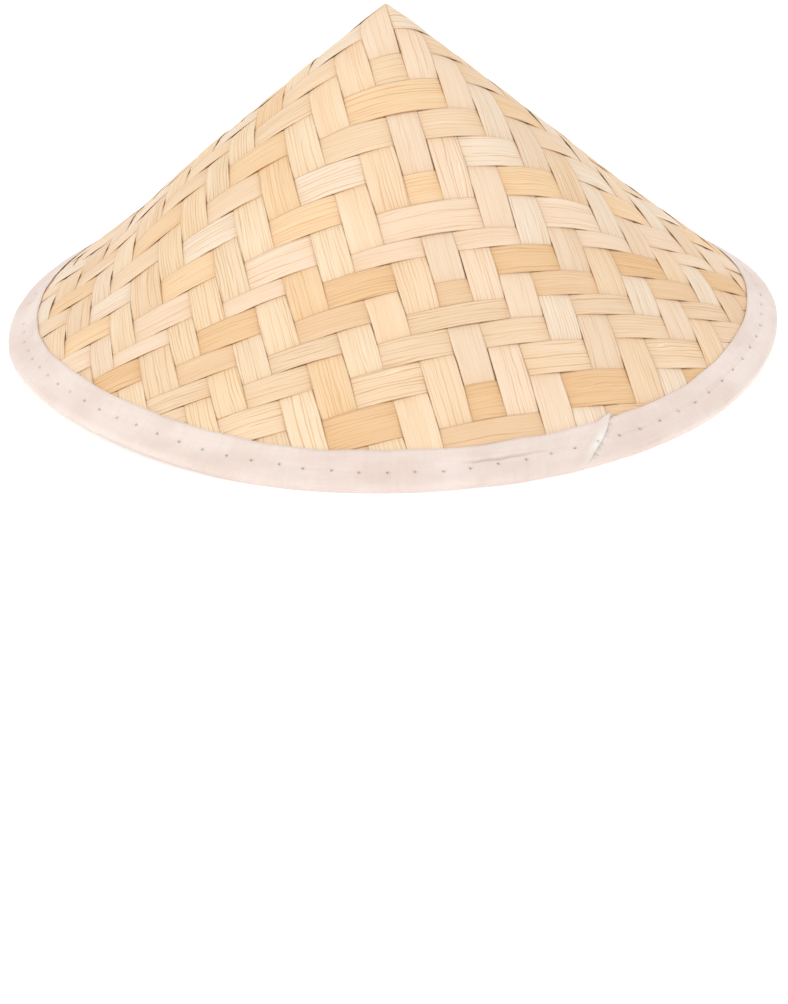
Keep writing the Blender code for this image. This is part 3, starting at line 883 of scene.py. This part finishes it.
def loopLine():  # the loop's line in (radial, height), even steps along it, the splint's middle at radial 0
    away, top, bottom = chinLoop["away"], headHoop["top"] + 0.75 * mm, headHoop["top"] - headHoop["height"]
    drop = chinLoop["drop"]
    half = [(0.5 * away, top), (away, top - 0.6 * mm), (away, bottom + 2 * mm),
            (0.45 * away, bottom - chinLoop["seamDrop"]), (1.7 * away, bottom - 0.40 * drop),
            (2.0 * away, bottom - 0.66 * drop), (1.4 * away, bottom - 0.90 * drop),
            (0.4 * away, bottom - 0.98 * drop)]
    line = np.array(half + [(-x, z) for x, z in half[::-1]] + half[:1])
    length = np.r_[0, np.cumsum(np.hypot(*np.diff(line, axis=0).T))]
    steps = np.linspace(0, length[-1], 91)
    even = np.stack([np.interp(steps, length, line[:, k]) for k in (0, 1)], axis=-1)
    ring = even[:-1]
    for _ in range(4):
        ring = ring / 2 + (np.roll(ring, 1, axis=0) + np.roll(ring, -1, axis=0)) / 4
    return steps, np.vstack([ring, ring[:1]])


def hangLoop(name, node, azimuth):
    steps, line = loopLine()
    out, side = turned(azimuth, 1.0, 0.0), turned(azimuth + 90, 1.0, 0.0)

    def bend(step, across):
        radial = np.interp(step, steps, line[:, 0])
        height = np.interp(step, steps, line[:, 1])
        angle = across / headHoop["radius"]
        free = height < headHoop["top"] - headHoop["height"]
        cupped = (across / chinLoop["width"]) ** 2 * chinLoop["cupping"] * free
        reach = headHoop["radius"] + radial
        place = reach[:, None] * (out * np.cos(angle)[:, None] + side * np.sin(angle)[:, None])
        place[:, 2] += height + cupped
        return place, np.stack([step, across], axis=-1)

    across = np.linspace(-0.5, 0.5, 13) * chinLoop["width"]
    loop = bentSheet(name, steps, across, bend, cottonFinish)
    bm = bmesh.new()
    bm.from_mesh(loop.data)
    bmesh.ops.remove_doubles(bm, verts=bm.verts, dist=0.02 * mm)
    bmesh.ops.recalc_face_normals(bm, faces=bm.faces)
    bm.to_mesh(loop.data)
    bm.free()
    thicken(loop, chinLoop["thickness"])
    fit(loop, "cotton_tape", node)
    print("hung %s: %.0f by %.0f mm" % (name, chinLoop["width"] * 1000, steps[-1] * 1000))


hangLoop("chinLoopRight", "chin_loop_right", 90.0)
hangLoop("chinLoopLeft", "chin_loop_left", 270.0)
print("fitted the head hoop")

# The floor, the lights and the camera
studio = {
    "floorSize": 6.0,
    "floorColour": (0.93, 0.925, 0.92, 1),
    "floorGlow": 0.35,    # a lit sweep, so that shadows on it stay pale
    "worldColour": (1.0, 0.985, 0.97, 1),
    "worldStrength": 0.57,
}
floorMesh = bmesh.new()
bmesh.ops.create_grid(floorMesh, x_segments=1, y_segments=1, size=studio["floorSize"])
floorShader = Shader("paleFloor", 0.9)
floorShader.surface.inputs["Base Color"].default_value = studio["floorColour"]
floorShader.surface.inputs["Emission Color"].default_value = (1, 1, 1, 1)
floorShader.surface.inputs["Emission Strength"].default_value = studio["floorGlow"]
floor = newObject("floor", floorMesh, floorShader.material)

world = bpy.data.worlds.new("softWorld")
scene.world = world
world.use_nodes = True
world.node_tree.nodes["Background"].inputs["Color"].default_value = studio["worldColour"]
world.node_tree.nodes["Background"].inputs["Strength"].default_value = studio["worldStrength"]
scene.view_settings.view_transform = "Standard"

softBoxes = [  # name, place, width, power, colour
    ("keyLight", (-1.1, -0.8, 1.15), 0.9, 13.7, (1.0, 0.992, 0.982)),
    ("fillLight", (1.3, -0.75, 0.9), 1.2, 9.5, (0.99, 0.995, 1.0)),
    ("backLight", (0.2, 1.3, 1.1), 1.0, 7.5, (1.0, 0.995, 0.99)),
]
for name, place, width, power, colour in softBoxes:
    light = bpy.data.lights.new(name, "AREA")
    light.shape = "DISK"
    light.size = width
    light.energy = power
    light.color = colour
    lamp = bpy.data.objects.new(name, light)
    scene.collection.objects.link(lamp)
    lamp.location = place
    aim = Vector((0, 0, 0.05)) - Vector(place)
    lamp.rotation_euler = aim.to_track_quat("-Z", "Y").to_euler()

view = {
    "distance": 9.13,       # from the hat's middle, in rim radii
    "middle": 0.44,         # height of the hat's middle, in rim radii
    "elevation": 20.7,
    "roll": -1.15,
    "aimBelow": 5.335,       # the hat stands in the upper half of the frame
    "aimRight": 0.075,
    "lens": 127.5,
}
elevation = math.radians(view["elevation"])
middle = Vector((0, 0, view["middle"] * hat["radius"]))
back = Vector((0, -math.cos(elevation), math.sin(elevation)))
camera = bpy.data.objects.new("camera", bpy.data.cameras.new("camera"))
scene.collection.objects.link(camera)
camera.data.lens = view["lens"]
camera.data.sensor_width = 36
camera.data.clip_start = 0.05
turn = Matrix.Rotation(math.pi / 2 - elevation, 4, "X")
aim = Matrix.Rotation(math.radians(view["roll"]), 4, "Z")
aim = aim @ Matrix.Rotation(-math.radians(view["aimRight"]), 4, "Y")
aim = aim @ Matrix.Rotation(-math.radians(view["aimBelow"]), 4, "X")
camera.matrix_world = Matrix.Translation(middle + back * view["distance"] * hat["radius"]) @ turn @ aim
scene.camera = camera
print("set the lights and the camera")
